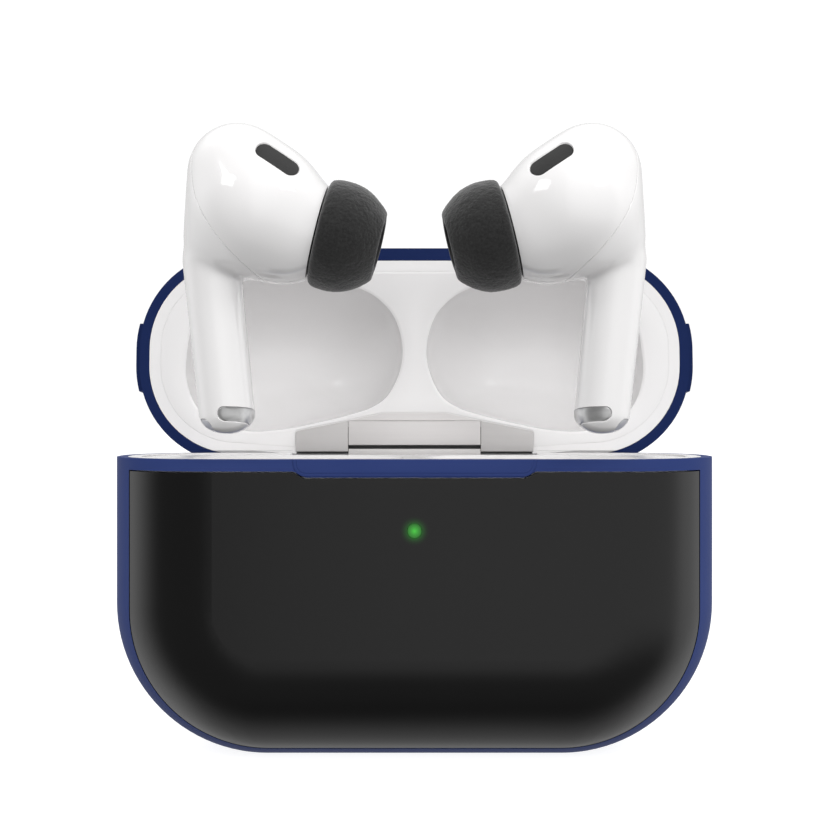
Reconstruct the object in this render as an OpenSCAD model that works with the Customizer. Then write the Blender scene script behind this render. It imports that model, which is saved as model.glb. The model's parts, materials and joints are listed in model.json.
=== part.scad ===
// Wireless earbuds charging case in a two-part protective cover, lid open, both buds out in front.
// Millimetres. Front faces -Y, right is +X, up is +Z. Origin: centre of the flat face it stands on.

/* [Case envelope] */
// Width of the cover, side to side
cover_w = 62.8; // [62.4:0.1:63.4]
// Depth of the cover, front to back
cover_d = 24.5; // [24.3:0.1:24.9]
// Height with the lid closed
closed_h = 47.6; // [47.4:0.1:48.2]
// Height of the seam between base and lid
seam_z = 31; // [30.9:0.1:31.1]
// Radius of the long front and back edges
edge_r = 11.3; // [11.2:0.1:11.4]
// Radius of the four corners, seen from the front
corner_r = 16; // [15.6:0.1:16.4]
// Depth of the flat cut that the case stands on
foot_cut = 0.25; // [0.2:0.05:0.35]

/* [Walls] */
// Thickness of the protective cover
cover_t = 1.1; // [1:0.05:1.15]
// Thickness of the base shell
base_t = 1.4; // [1.2:0.1:1.4]
// Thickness of the lid shell
lid_t = 1.2; // [1:0.1:1.2]
// Gap between neighbouring shells
gap = 0.05; // [0.03:0.01:0.06]

/* [Cover trim] */
// Width of the navy band at the sides of each black panel, seen from the front
band_side = 2.3; // [2.1:0.1:2.4]
// Width of the navy band under each black panel, seen from the front
band_low = 1.3; // [1.1:0.1:1.4]
// Radius of the lower corners of each black panel
window_r = 14.4; // [14:0.1:14.4]
// Height of the navy rim band along the seam
rim_h = 1.2; // [1:0.1:1.5]
// Height of the navy rim band at the back, where the lid turns past the base
rear_rim_h = 2.6; // [2.6:0.1:3]
// How far the centre tab hangs below the rim band
tab_h = 0.6; // [0.4:0.1:0.8]
// Half width of the centre tab
tab_x = 12; // [10:0.5:13]
// How far the side grips of the lid stand out
grip_out = 0.45; // [0.3:0.05:0.5]
// How far the lid's front tab stands out
tab_out = 0.3; // [0.2:0.05:0.35]

/* [Hinge] */
// Distance of the hinge axis behind the middle of the case
hinge_y = 10.95; // [10.9:0.05:11]
// Angle of the lid from closed in the drawn pose
lid_open = 95; // [90:1:95]
// Radius of the knuckles
knuckle_r = 1; // [0.9:0.05:1]
// Radius of the hinge pin
pin_r = 0.5; // [0.4:0.05:0.5]
// Half length of the hinge
hinge_x = 13.5; // [12.5:0.5:13.5]
// Half length of the middle knuckle
mid_x = 7.5; // [7:0.25:7.5]

/* [Wells and recesses] */
// Radius of the bowl for a bud's head
bowl_r = 7.4; // [7.3:0.05:7.5]
// Radius of the shaft for a bud's stem
shaft_r = 3.2; // [3.1:0.05:3.3]
// Radius of the recess in the lid
recess_r = 8.9; // [8.8:0.05:9]

/* [Buds] */
// Distance in front of the middle of the case at which the stems hover
bud_out = 15.8; // [15.8:0.1:16.5]
// Height of the lowest point of the hovering buds
bud_z = 33.5; // [33.3:0.1:34]
// Radius of the stem
stem_r = 2.7; // [2.6:0.05:2.7]
// Wall of the bud shells
bud_t = 0.8; // [0.6:0.05:0.8]
// Largest radius of the foam tip
tip_r = 5.6; // [5.4:0.1:5.6]
// Length of the foam tip
tip_l = 6.1; // [6:0.1:6.2]

/* [Hidden] */
$fn = 64;
half_flat = cover_d / 2 - edge_r;
spine_x = cover_w / 2 - edge_r;
spine_r = corner_r - edge_r;
spine_lo = edge_r - foot_cut;
spine_hi = closed_h - edge_r;
shell_g = cover_t + gap;
base_in = shell_g + base_t;
lid_in = shell_g + lid_t;
seam_gap = 0.1;
window_x = cover_w / 2 - band_side - window_r;
tab_slope = 1.2;
panel_gap = 0.12;
led_z = 23.9;
button_z = 18.3;
loop_z = 23.8;
plate_t = 1.05;
well_wall = 0.9;
well_y = -0.9;
well_x = [8.5, 16.2];
shaft_run = 1.5;
seat_y = well_y + 1.6;
seat_z = 11.1;
pin_z = seat_z - 3.1;
recess_y = -0.3;
recess_x = [10.3, 16.8];
recess_top = 34.4;
recess_wall = 0.8;
stem_low = [-18.1, 0, stem_r];
stem_tilt = -6.15;
stem_len = 15.4;
head_a = [-17, -1.2, 25.1, 4.3];
head_b = [-14.9, -1.5, 21.5, 6.1];
head_c = [-18.7, -0.6, 18.9, 3.2];
head_n = [-12.5, -1.4, 20.1, 5.4];
tip_base = [-8.9, -1.3, 19.6];
navy = [0.19, 0.24, 0.42];
black = [0.13, 0.13, 0.13];
white = [0.95, 0.95, 0.96];
steel = [0.78, 0.77, 0.76];

// ---------- shared shapes ----------

// Flat outline that the rounded edge runs around.
module spine() {
  translate([-spine_x + spine_r, spine_lo])
    square([2 * (spine_x - spine_r), spine_hi - spine_lo]);
  translate([-spine_x, spine_lo + spine_r])
    square([2 * spine_x, spine_hi - spine_lo - 2 * spine_r]);
  for (x = [-1, 1], z = [spine_lo + spine_r, spine_hi - spine_r])
    translate([x * (spine_x - spine_r), z])
      circle(spine_r);
}

// Section of the rounded edge: a flat middle with a quarter round on each side.
module edge_section(r, start) {
  translate([start, -half_flat])
    square([r, 2 * half_flat]);
  for (s = [-1, 1])
    translate([start, s * half_flat])
      intersection() {
        circle(r);
        translate([0, s < 0 ? -r : 0])
          square([r, r]);
      }
}

// The closed case's outer form, moved inwards by inset.
module pebble(inset) {
  r = edge_r - inset;
  straight_x = 2 * (spine_x - spine_r);
  rotate([90, 0, 0])
    linear_extrude(2 * (half_flat + r), center = true)
      spine();
  for (side = [0, 1])
    mirror([side, 0, 0]) {
      translate([spine_x, 0, spine_lo + spine_r])
        linear_extrude(spine_hi - spine_lo - 2 * spine_r)
          edge_section(r, 0);
      translate([spine_x - spine_r, 0, spine_hi - spine_r])
        rotate([90, 0, 0])
          rotate_extrude(angle = 90)
            edge_section(r, spine_r);
      translate([spine_x - spine_r, 0, spine_lo + spine_r])
        mirror([0, 0, 1])
          rotate([90, 0, 0])
            rotate_extrude(angle = 90)
              edge_section(r, spine_r);
    }
  translate([0, 0, spine_hi])
    rotate([0, -90, 0])
      linear_extrude(straight_x, center = true)
        edge_section(r, 0);
  translate([0, 0, spine_lo])
    rotate([0, 90, 0])
      linear_extrude(straight_x, center = true)
        edge_section(r, 0);
}

// Everything between two heights.
module between(lo, hi) {
  translate([-50, -50, lo])
    cube([100, 100, hi - lo]);
}

// A box given by its low corner and its high corner.
module block(lo, hi) {
  translate(lo)
    cube(hi - lo);
}

// Height of the rim band on one face: side -1 is the front, 1 is the back.
function rim_on(side) = side < 0 ? rim_h : rear_rim_h;

// Outline of a black panel on the base below a rim band, pulled in by shrink.
module base_window(rim, shrink) {
  r = window_r - shrink;
  top = seam_z - rim - shrink;
  zc = window_r + band_low - foot_cut;
  xc = window_x;
  difference() {
    union() {
      translate([-xc - r, zc])
        square([2 * (xc + r), top - zc]);
      translate([-xc, zc - r])
        square([2 * xc, r + 1]);
      for (x = [-xc, xc])
        translate([x, zc])
          circle(r);
    }
    translate([-50, top])
      square([100, 50]);
    polygon([
      [-tab_x - shrink, top + 10], [-tab_x - shrink, top], [-tab_x - shrink + tab_slope, top - tab_h],
      [tab_x + shrink - tab_slope, top - tab_h], [tab_x + shrink, top], [tab_x + shrink, top + 10]
    ]);
  }
}

// Outline of a black panel on the lid above a rim band, pulled in by shrink.
module lid_window(rim, shrink) {
  r = window_r - shrink;
  low = seam_z + rim + shrink;
  zc = closed_h - band_low - window_r;
  xc = window_x;
  difference() {
    union() {
      translate([-xc - r, zc])
        square([2 * (xc + r), 1]);
      translate([-xc, zc - 1])
        square([2 * xc, r + 1]);
      for (x = [-xc, xc])
        translate([x, zc])
          circle(r);
    }
    translate([-50, low - 50])
      square([100, 50]);
  }
}

// Turns a flat outline into a cutter through one face: side -1 is the front, 1 is the back.
module through(side) {
  translate([0, side < 0 ? -6 : 30, 0])
    rotate([90, 0, 0])
      linear_extrude(24)
        children();
}

// The front half (side -1) or the back half (side 1) of the case, short of its middle.
module facing(side) {
  block([-40, side < 0 ? -30 : 1, -20], [40, side < 0 ? -1 : 30, 60]);
}

// Room behind the hinge axis, so that the open lid's rear edge turns past the base. up is 1 for the lid.
module rear_notch(up) {
  translate([0, hinge_y, seam_z])
    rotate([90, 0, 90])
      linear_extrude(100, center = true)
        polygon([[-0.3, -up * 0.5], [4, -up * 0.5], [4, up * 5.17], [-0.3, up * 0.05]]);
}

// Stands the lid open about the hinge axis.
module opened() {
  translate([0, hinge_y, seam_z])
    rotate([-lid_open, 0, 0])
      translate([0, -hinge_y, -seam_z])
        children();
}

// A lying capsule from x0 to x1, for bowls and recesses.
module lying_capsule(x0, x1, r) {
  translate([x0, 0, 0])
    rotate([0, 90, 0])
      rotate_extrude()
        intersection() {
          union() {
            circle(r);
            square([r, x1 - x0]);
            translate([0, x1 - x0])
              circle(r);
          }
          translate([0, -r])
            square([r, x1 - x0 + 2 * r]);
        }
}

// A slot-shaped outline, w wide in all and d deep.
module slot_outline(w, d) {
  square([w - d, d], center = true);
  for (s = [-1, 1])
    translate([s * (w - d) / 2, 0])
      circle(d / 2);
}

// ---------- protective cover, base half ----------

module cover_base_skin() {
  difference() {
    intersection() {
      pebble(0);
      between(0, seam_z);
    }
    pebble(cover_t);
  }
}

module cover_hinge_cut() {
  block([-hinge_x - 1, 5, seam_z - 2], [hinge_x + 1, 20, seam_z + 2]);
}

module cover_base_frame() {
  color(navy)
    difference() {
      cover_base_skin();
      for (side = [-1, 1])
        through(side)
          base_window(rim_on(side), 0);
      rear_notch(-1);
      cover_hinge_cut();
      translate([0, 0, -1])
        linear_extrude(4)
          slot_outline(9.6, 6.4);
      translate([25, 0, loop_z])
        rotate([90, 0, 90])
          linear_extrude(10)
            rotate(90)
              slot_outline(8, 6.2);
    }
}

// One black panel of the base: side -1 is the front, 1 is the back.
module cover_base_panel(side) {
  difference() {
    intersection() {
      pebble(0);
      through(side)
        base_window(rim_on(side), panel_gap);
    }
    intersection() {
      pebble(cover_t);
      facing(side);
    }
  }
}

module cover_front_panel() {
  color(black)
    difference() {
      cover_base_panel(-1);
      translate([0, -5, led_z])
        rotate([90, 0, 0])
          cylinder(r = 0.75, h = 10);
    }
}

module cover_back_panel() {
  color(black)
    difference() {
      cover_base_panel(1);
      translate([0, 5, button_z])
        rotate([-90, 0, 0])
          cylinder(r = 3.2, h = 10);
    }
}

module cover_light_window() {
  color("green")
    translate([0, -cover_d / 2 + cover_t, led_z])
      rotate([90, 0, 0])
        cylinder(r = 0.7, h = cover_t - 0.03);
}

// ---------- case, base half ----------

module base_shell() {
  color(white)
    difference() {
      intersection() {
        pebble(shell_g);
        between(0, seam_z);
      }
      pebble(base_in);
      rear_notch(-1);
      block([-hinge_x - 0.3, 8.4, seam_z - 1.2], [hinge_x + 0.3, 20, seam_z + 2]);
      translate([0, 0, -1])
        linear_extrude(6)
          slot_outline(9.1, 3.4);
      translate([0, -5, led_z])
        rotate([90, 0, 0])
          cylinder(r = 0.75, h = 10);
      translate([0, 5, button_z])
        rotate([-90, 0, 0])
          cylinder(r = 2.28, h = 10);
      translate([25, 0, loop_z])
        rotate([90, 0, 90])
          linear_extrude(10)
            rotate(90)
              slot_outline(7.6, 5);
    }
}

// Space for one seated bud, with its walls moved out by grow.
module well(grow) {
  translate([0, well_y, seam_z])
    lying_capsule(-well_x[1], -well_x[0], bowl_r + grow);
  translate([stem_low[0] - shaft_run / 2, seat_y, seat_z - 0.5 - grow])
    linear_extrude(seam_z - seat_z + 1 + grow)
      slot_outline(shaft_run + 2 * (shaft_r + grow), 2 * (shaft_r + grow));
}

module pin_spots() {
  for (side = [-1, 1], dx = [-1.2, 1.2])
    translate([side * (stem_low[0] + dx), seat_y, 0])
      children();
}

module cradle() {
  color(white)
    difference() {
      union() {
        intersection() {
          pebble(base_in + gap);
          between(seam_z - 0.15 - plate_t, seam_z - 0.15);
        }
        for (side = [0, 1])
          mirror([side, 0, 0])
            intersection() {
              well(well_wall);
              between(0, seam_z - 0.15);
            }
      }
      for (side = [0, 1])
        mirror([side, 0, 0])
          well(0);
      block([-hinge_x - 0.4, 8.2, seam_z - 3], [hinge_x + 0.4, 20, seam_z + 2]);
      pin_spots()
        cylinder(r = 0.45, h = 15);
    }
}

module hinge_bracket_base() {
  color(steel)
    translate([0, hinge_y, seam_z])
      difference() {
        union() {
          rotate([0, 90, 0])
            cylinder(r = knuckle_r, h = 2 * mid_x, center = true);
          block([-mid_x, -2.15, -0.95], [mid_x, -0.4, -0.2]);
          block([-mid_x, -2.15, -3.6], [mid_x, -1.4, -0.2]);
        }
        rotate([0, 90, 0])
          cylinder(r = pin_r + 0.05, h = 40, center = true);
      }
}

module hinge_pin() {
  color(steel)
    translate([0, hinge_y, seam_z])
      rotate([0, 90, 0])
        cylinder(r = pin_r, h = 2 * hinge_x - 0.2, center = true);
}

module hinge_spring() {
  color(steel)
    block([-5, 7.95, 25.5], [5, 8.15, seam_z - 1.25]);
}

module main_board() {
  color("darkgreen") {
    block([-13, -8.2, 8], [13, -7.2, 25.5]);
    block([-10, -7.21, 10], [-4, -6.4, 16]);
    block([2, -7.21, 12], [6, -6.5, 16]);
    block([8, -7.21, 17], [11, -6.6, 20]);
  }
}

module battery() {
  color("silver") {
    block([-12.4, -5.8, 9.6], [12.4, 4.4, 21.4]);
    block([-8, -5.4, 21.39], [8, 4, 22.3]);
  }
}

module charge_port() {
  color(steel)
    difference() {
      translate([0, 0, 0.95])
        linear_extrude(6.5)
          slot_outline(8.9, 3.2);
      translate([0, 0, 0])
        linear_extrude(6.8)
          slot_outline(8.3, 2.6);
    }
  color("black")
    block([-3.3, -0.35, 1.5], [3.3, 0.35, 7]);
}

module flex_cables() {
  color("orange") {
    block([-3, -7, 7.55], [3, 1.5, 7.7]);
    block([-3, -7, 7.55], [3, -6.85, 11]);
    block([-2, -6.6, 22.45], [2, 3.8, 22.6]);
  }
}

module charge_coil() {
  color("peru")
    translate([0, 8.7, button_z])
      rotate([-90, 0, 0])
        difference() {
          cylinder(r = 9, h = 0.6);
          translate([0, 0, -1])
            cylinder(r = 3.4, h = 3);
        }
}

module ferrite_sheet() {
  color("dimgray")
    translate([0, 8.3, button_z])
      rotate([-90, 0, 0])
        difference() {
          cylinder(r = 9.2, h = 0.35);
          translate([0, 0, -1])
            cylinder(r = 3.4, h = 3);
        }
}

module status_led() {
  color("limegreen")
    block([-0.8, -8.8, led_z - 0.4], [0.8, -8.21, led_z + 0.4]);
}

module light_pipe() {
  color("lightgreen")
    translate([0, -8.9, led_z])
      rotate([90, 0, 0])
        cylinder(r = 0.7, h = 2.15);
}

module base_magnets() {
  color(steel)
    for (side = [-1, 1])
      translate([side * 27.3, 0, seam_z - 2.25])
        cube([1.8, 6, 2], center = true);
}

module bud_magnets() {
  color(steel)
    for (side = [-1, 1])
      translate([side * 18.6, 6.2, 19])
        cube([5, 1.6, 5], center = true);
}

module contact_blocks() {
  color("dimgray")
    difference() {
      for (side = [-1, 1])
        translate([side * abs(stem_low[0]), seat_y, pin_z - 0.1])
          cube([5.4, 2.6, 3.2], center = true);
      translate([0, 0, pin_z - 1])
        pin_spots()
          cylinder(r = 0.8, h = 10);
    }
}

module lanyard_loop() {
  color(steel)
    translate([0, 0, loop_z]) {
      difference() {
        translate([27.7, 0, 0])
          rotate([90, 0, 90])
            linear_extrude(2.4)
              rotate(90)
                slot_outline(7.4, 4.8);
        translate([28.3, 0, 0])
          rotate([90, 0, 90])
            linear_extrude(5)
              rotate(90)
                slot_outline(6.4, 3.8);
      }
      translate([29.3, 0, 0])
        rotate([90, 0, 0])
          cylinder(r = 0.55, h = 4.2, center = true);
    }
}

module button_switch() {
  color("dimgray") {
    block([-1.8, 6.4, button_z - 1.8], [1.8, 7.6, button_z + 1.8]);
    translate([0, 7.59, button_z])
      rotate([-90, 0, 0])
        cylinder(r = 0.9, h = 0.3);
  }
}

module setup_button() {
  color(white)
    translate([0, 0, button_z])
      rotate([-90, 0, 0]) {
        translate([0, 0, 8.75])
          cylinder(r = 2.22, h = cover_d / 2 - shell_g - 8.8);
        translate([0, 0, 8.75])
          cylinder(r = 2.8, h = 0.8);
        translate([0, 0, 8.25])
          cylinder(r = 0.8, h = 0.6);
      }
}

module contact_pin_pair(side) {
  color("gold")
    for (dx = [-1.2, 1.2])
      translate([side * (abs(stem_low[0]) + dx), seat_y, 0]) {
        translate([0, 0, pin_z])
          cylinder(r = 0.4, h = 3.45);
        translate([0, 0, pin_z])
          cylinder(r = 0.7, h = 1.2);
      }
}

// ---------- lid ----------

module cover_lid_skin() {
  difference() {
    intersection() {
      pebble(0);
      between(seam_z + seam_gap, 60);
    }
    pebble(cover_t);
  }
}

module cover_lid_frame() {
  color(navy)
    opened()
      difference() {
        union() {
          cover_lid_skin();
          difference() {
            intersection() {
              pebble(-grip_out);
              for (side = [0, 1])
                mirror([side, 0, 0])
                  block([25, -3.9, seam_z + 0.6], [40, 3.9, seam_z + 6]);
            }
            pebble(cover_t / 2);
          }
          difference() {
            intersection() {
              pebble(-tab_out);
              block([-tab_x, -20, seam_z + seam_gap], [tab_x, -8, seam_z + rim_h]);
            }
            pebble(cover_t / 2);
          }
        }
        for (side = [-1, 1])
          through(side)
            lid_window(rim_on(side), 0);
        rear_notch(1);
        cover_hinge_cut();
      }
}

module cover_lid_panel(side) {
  color(black)
    opened()
      difference() {
        intersection() {
          pebble(0);
          through(side)
            lid_window(rim_on(side), panel_gap);
        }
        intersection() {
          pebble(cover_t);
          facing(side);
        }
      }
}

module lid_shell() {
  color(white)
    opened()
      difference() {
        intersection() {
          pebble(shell_g);
          between(seam_z + seam_gap, 60);
        }
        pebble(lid_in);
        rear_notch(1);
        block([-hinge_x - 0.3, 8.4, seam_z - 2], [hinge_x + 0.3, 20, seam_z + 1.4]);
      }
}

// Recess for one bud's head in the lid, with its walls moved out by grow.
module recess(grow) {
  translate([0, recess_y, seam_z - 1])
    linear_extrude(recess_top - seam_z + 1)
      translate([-(recess_x[0] + recess_x[1]) / 2, 0])
        slot_outline(recess_x[1] - recess_x[0] + 2 * (recess_r + grow), 2 * (recess_r + grow));
  translate([0, recess_y, recess_top])
    intersection() {
      lying_capsule(-recess_x[1], -recess_x[0], recess_r + grow);
      between(0, 20);
    }
}

module bracket_outline(grow) {
  polygon([
    [-hinge_x - grow, 9.8 + grow], [-hinge_x - grow, 8.4 - grow], [-mid_x - grow, 7.3 - grow],
    [-3.6, 6.4 - grow], [3.6, 6.4 - grow], [mid_x + grow, 7.3 - grow],
    [hinge_x + grow, 8.4 - grow], [hinge_x + grow, 9.8 + grow]
  ]);
}

module lid_liner() {
  color(white)
    opened()
      difference() {
        intersection() {
          pebble(lid_in + gap);
          union() {
            between(seam_z + 0.15, seam_z + 1.2);
            for (side = [0, 1])
              mirror([side, 0, 0])
                intersection() {
                  recess(recess_wall);
                  between(seam_z + 0.15, 60);
                }
          }
        }
        for (side = [0, 1])
          mirror([side, 0, 0])
            recess(0);
        translate([0, 0, seam_z - 1])
          linear_extrude(2.2)
            bracket_outline(0.1);
        block([-hinge_x - 0.3, 9.6, seam_z - 2], [hinge_x + 0.3, 20, seam_z + 1.4]);
      }
}

module hinge_bracket_lid() {
  color(steel)
    opened()
      difference() {
        union() {
          translate([0, 0, seam_z + 0.2])
            linear_extrude(0.9)
              bracket_outline(0);
          for (side = [-1, 1])
            translate([side * (hinge_x + mid_x + 0.15) / 2, hinge_y, seam_z]) {
              rotate([0, 90, 0])
                cylinder(r = knuckle_r, h = hinge_x - mid_x - 0.15, center = true);
              translate([0, -0.9, 0.55])
                cube([hinge_x - mid_x - 0.15, 1.8, 0.7], center = true);
            }
        }
        translate([0, hinge_y, seam_z])
          rotate([0, 90, 0])
            cylinder(r = pin_r + 0.05, h = 40, center = true);
      }
}

module lid_magnets() {
  color(steel)
    opened()
      for (side = [-1, 1])
        translate([side * 27.6, 0, seam_z + 2.3])
          cube([1.6, 6, 2], center = true);
}

// ---------- buds: drawn for the left ear side, mirrored for the right ----------

module hovering(side) {
  mirror([side > 0 ? 1 : 0, 0, 0])
    translate([0, -bud_out, bud_z])
      children();
}

module along_stem() {
  translate(stem_low)
    rotate([0, stem_tilt, 0])
      children();
}

module along_tip() {
  translate(tip_base)
    rotate([0, 104, 0])
      rotate([2, 0, 0])
        children();
}

module at_vent() {
  translate([head_b[0], head_b[1], head_b[2]])
    rotate([0, 26, 0])
      rotate([37.6, 0, 0])
        rotate(-20)
          children();
}

module head_form(inset) {
  hull()
    for (ball = [head_a, head_b, head_c, head_n])
      translate([ball[0], ball[1], ball[2]])
        sphere(r = ball[3] - inset, $fn = 32);
}

module stem_form(inset) {
  r = stem_r - inset;
  along_stem()
    rotate_extrude() {
      square([r, stem_len]);
      intersection() {
        circle(r);
        translate([0, -r])
          square([r, r]);
      }
    }
}

// The side of the parting line that belongs to the stem shell, moved by shift.
module stem_side(shift) {
  translate([-18.8, 0, 20.65])
    rotate([0, 151, 0])
      translate([shift, -20, -30])
        cube([40, 40, 60]);
}

module contact_ring(r0, r1, z0, z1, turns) {
  along_stem()
    for (t = turns)
      rotate([0, 0, t[0]])
        rotate_extrude(angle = t[1])
          translate([r0, z0])
            square([r1 - r0, z1 - z0]);
}

module stem_shell(side) {
  color(white)
    hovering(side)
      difference() {
        union() {
          intersection() {
            head_form(0);
            stem_side(0.05);
          }
          intersection() {
            stem_form(0);
            stem_side(0.05);
          }
        }
        head_form(bud_t);
        stem_form(bud_t);
        contact_ring(2.2, 4, -1.4, 0.4, [[-78, 116], [-130, 42]]);
        along_stem()
          translate([0, 0, -5])
            cylinder(r = 0.8, h = 4);
      }
}

module head_shell(side) {
  color(white)
    hovering(side)
      difference() {
        union() {
          difference() {
            head_form(0);
            stem_side(-0.05);
            stem_form(-0.05);
            along_tip()
              translate([0, 0, -0.3])
                cylinder(r = 9, h = 9);
          }
          along_tip()
            translate([0, 0, -1.2])
              cylinder(r = 2.1, h = 4);
        }
        difference() {
          head_form(bud_t);
          along_tip()
            translate([0, 0, -1.1])
              cylinder(r = 9, h = 9);
        }
        along_tip()
          translate([0, 0, -4])
            cylinder(r = 1.5, h = 9);
        at_vent()
          translate([0, 0, 4])
            linear_extrude(4)
              slot_outline(5.5, 2.4);
      }
}

module vent_mesh(side) {
  color("black")
    hovering(side)
      at_vent()
        translate([0, 0, 5.1])
          linear_extrude(0.3)
            slot_outline(5.4, 2.3);
}

module nozzle_mesh(side) {
  color("black")
    hovering(side)
      along_tip()
        translate([0, 0, 2.2])
          cylinder(r = 1.45, h = 0.3);
}

module tip_core(side) {
  color("dimgray")
    hovering(side)
      along_tip()
        difference() {
          translate([0, 0, 0.1])
            cylinder(r = 2.8, h = 5.6);
          translate([0, 0, -1])
            cylinder(r = 2.15, h = 9);
        }
}

module foam_tip(side) {
  color("dimgray")
    hovering(side)
      along_tip()
        rotate_extrude()
          polygon([
            [2.85, 0.05], [tip_r - 1.15, 0.05], [tip_r - 0.3, 0.9], [tip_r, 2.2],
            [tip_r - 0.3, 3.8], [tip_r - 1, 5.2], [tip_r - 2, 6.2], [2.85, tip_l]
          ]);
}

module driver(side) {
  color("silver")
    hovering(side)
      translate([-13.8, -1.5, 20.8])
        rotate([0, 104, 0])
          rotate([2, 0, 0])
            cylinder(r = 4.1, h = 3, center = true);
}

module cell(side) {
  color("silver")
    hovering(side)
      translate([-17.2, -1.4, 23])
        rotate([0, 104, 0])
          cylinder(r = 2.8, h = 2.6, center = true);
}

module bud_board(side) {
  color("darkgreen")
    hovering(side)
      along_stem()
        block([-1.3, -0.4, 0.5], [1.3, 0.4, 12.5]);
}

module charge_contacts(side) {
  color(steel)
    hovering(side)
      contact_ring(2.25, stem_r + 0.03, -1.35, 0.35, [[-77, 114], [-129, 40]]);
}

module mic_mesh(side) {
  color("dimgray")
    hovering(side)
      along_stem()
        translate([0, 0, -stem_r + 0.25])
          cylinder(r = 0.75, h = 0.3);
}

cover_base_frame();
cover_front_panel();
cover_back_panel();
cover_light_window();
base_shell();
cradle();
hinge_bracket_base();
hinge_pin();
hinge_spring();
main_board();
battery();
charge_port();
flex_cables();
charge_coil();
ferrite_sheet();
status_led();
light_pipe();
base_magnets();
bud_magnets();
contact_blocks();
lanyard_loop();
button_switch();
setup_button();
contact_pin_pair(-1);  // left_contact_pins
contact_pin_pair(1);  // right_contact_pins
cover_lid_frame();
cover_lid_panel(-1);  // cover_lid_front_panel
cover_lid_panel(1);  // cover_lid_back_panel
lid_shell();
lid_liner();
hinge_bracket_lid();
lid_magnets();
stem_shell(-1);  // left_stem_shell
head_shell(-1);  // left_head_shell
vent_mesh(-1);  // left_vent_mesh
nozzle_mesh(-1);  // left_nozzle_mesh
tip_core(-1);  // left_tip_core
foam_tip(-1);  // left_foam_tip
driver(-1);  // left_driver
cell(-1);  // left_cell
bud_board(-1);  // left_board
charge_contacts(-1);  // left_charge_contacts
mic_mesh(-1);  // left_mic_mesh
stem_shell(1);  // right_stem_shell
head_shell(1);  // right_head_shell
vent_mesh(1);  // right_vent_mesh
nozzle_mesh(1);  // right_nozzle_mesh
tip_core(1);  // right_tip_core
foam_tip(1);  // right_foam_tip
driver(1);  // right_driver
cell(1);  // right_cell
bud_board(1);  // right_board
charge_contacts(1);  // right_charge_contacts
mic_mesh(1);  // right_mic_mesh
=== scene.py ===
import json
import math

import bmesh
import bpy
import numpy as np
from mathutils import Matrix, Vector, noise


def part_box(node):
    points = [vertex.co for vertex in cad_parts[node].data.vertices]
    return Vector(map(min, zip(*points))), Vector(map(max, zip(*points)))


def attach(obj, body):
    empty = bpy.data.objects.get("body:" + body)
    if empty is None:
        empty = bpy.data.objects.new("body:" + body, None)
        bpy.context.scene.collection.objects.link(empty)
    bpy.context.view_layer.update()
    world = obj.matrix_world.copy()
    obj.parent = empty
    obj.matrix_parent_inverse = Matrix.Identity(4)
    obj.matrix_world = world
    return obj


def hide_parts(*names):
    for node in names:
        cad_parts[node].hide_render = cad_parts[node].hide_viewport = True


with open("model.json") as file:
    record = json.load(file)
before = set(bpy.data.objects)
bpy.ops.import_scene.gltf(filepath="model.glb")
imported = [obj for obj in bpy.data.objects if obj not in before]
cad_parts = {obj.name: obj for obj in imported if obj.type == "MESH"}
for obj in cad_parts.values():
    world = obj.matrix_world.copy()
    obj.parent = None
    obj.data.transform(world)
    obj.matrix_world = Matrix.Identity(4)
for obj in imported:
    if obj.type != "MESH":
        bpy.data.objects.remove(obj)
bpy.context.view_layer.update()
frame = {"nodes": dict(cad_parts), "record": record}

MM = 0.001
NODES = frame["nodes"]


def middle(node_name, axis):
    """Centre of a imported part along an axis, in millimetres."""
    low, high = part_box(node_name)
    return (low[axis] + high[axis]) / 2 / MM


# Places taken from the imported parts, in millimetres: the seam between base and lid, the hinge's
# axis, and how far in front and how high the buds hover.
SEAM_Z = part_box("base_shell")[1].z / MM
HINGE_Y = middle("hinge_pin", 1)
HINGE_Z = middle("hinge_pin", 2)
BUD_OUT = -middle("right_mic_mesh", 1)
BUD_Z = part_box("right_stem_shell")[0].z / MM

# Angle of the lid from closed in the drawn pose, in degrees, and the way its rim faces there.
LID_OPEN = 95.0
LID_FACING = Vector((0, -math.sin(math.radians(LID_OPEN)), -math.cos(math.radians(LID_OPEN))))


# ---------- mesh helpers ----------

def finish_mesh(name, verts, faces, body, mat, stands_for=(), angle=32):
    """Makes a smooth-shaded piece from points in millimetres and puts it on its body.

    Edges sharper than angle stay sharp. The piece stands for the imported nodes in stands_for.
    """
    mesh = bpy.data.meshes.new(name)
    mesh.from_pydata([tuple(v) for v in np.asarray(verts) * MM], [], [tuple(f) for f in faces])
    mesh.validate()
    mesh.update()
    mesh.shade_smooth()
    mesh.set_sharp_from_angle(angle=math.radians(angle))
    mesh.materials.clear()
    mesh.materials.append(mat)
    piece = bpy.data.objects.new(name, mesh)
    bpy.context.scene.collection.objects.link(piece)
    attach(piece, body)
    if stands_for:
        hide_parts(*stands_for)


def ring_faces(rings, count):
    """Quads between consecutive closed rings of count points each."""
    faces = []
    for r in range(rings - 1):
        for i in range(count):
            j = (i + 1) % count
            faces.append((r * count + i, r * count + j, (r + 1) * count + j, (r + 1) * count + i))
    return faces


def smooth_min(a, b, k):
    """Smaller of two fields, rounded over a width k, with continuous curvature."""
    h = np.clip(k - np.abs(a - b), 0, None) / k
    return np.minimum(a, b) - h ** 3 * k / 6


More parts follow.
